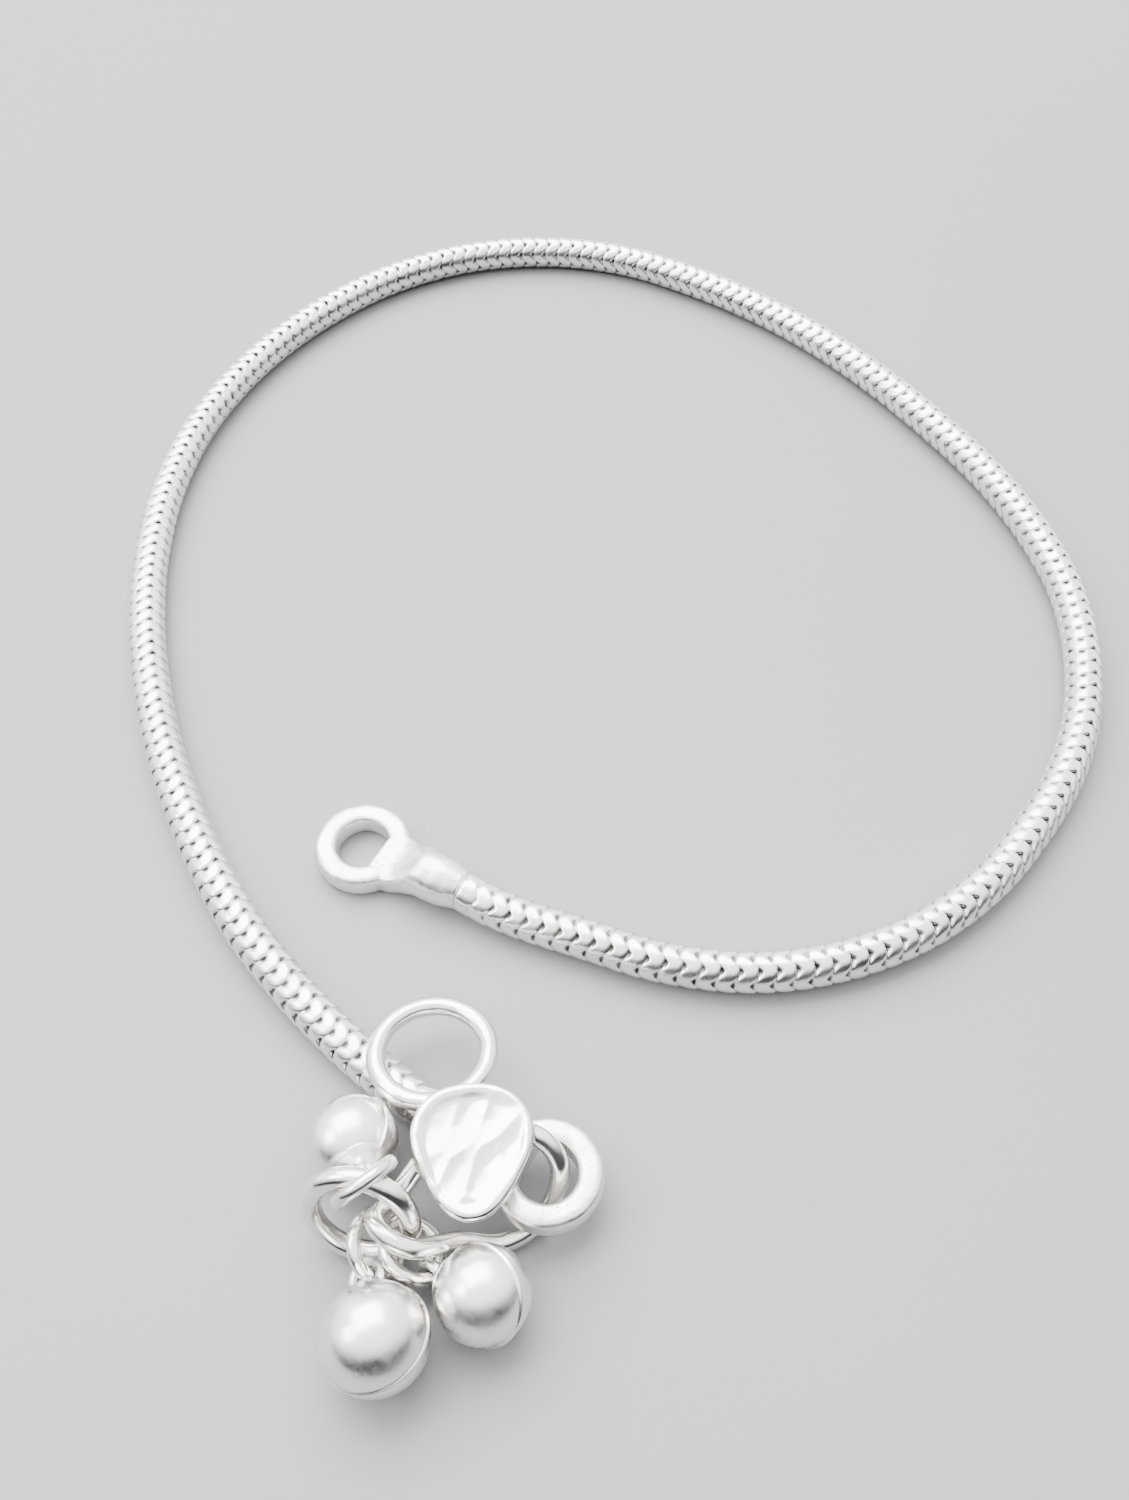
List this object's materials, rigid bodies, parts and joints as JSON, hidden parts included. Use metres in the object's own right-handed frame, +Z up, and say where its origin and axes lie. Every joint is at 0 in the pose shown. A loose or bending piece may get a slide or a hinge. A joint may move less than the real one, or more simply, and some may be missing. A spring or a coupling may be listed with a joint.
{
  "type": "payal anklet",
  "caption": "Open payal anklet: round snake chain with cast end rings, a wire hook with a hammered plate, and a ring of ball bells.",
  "frame": {"origin": "bottom centre of the anklet's box, on the surface it lies on", "axes": "+Z up; +Y from the clasp and bells across the loop to the far side of the chain; +X to the right seen from the clasp"},
  "size_m": [0.0764, 0.1072, 0.0083],
  "materials": {
    "chain_silver": "bright snake-chain silver with dark, slightly warm creases",
    "cast_silver": "bright cast silver, lightly pitted",
    "polished_silver": "polished silver wire, hammered on the plate",
    "bell_silver": "softly polished silver with fine smudges"
  },
  "bodies": {
    "root": {"snake_chain": "chain_silver", "end_ring_plain": "cast_silver", "end_ring_clasp": "cast_silver", "hook_with_plate": "polished_silver", "bell_ring": "polished_silver", "jump_ring_front_left": "polished_silver", "jump_ring_front_right": "polished_silver", "jump_ring_back": "polished_silver", "bell_front_left": "bell_silver", "bell_front_right": "bell_silver", "bell_back": "bell_silver"}
  },
  "joints": []
}
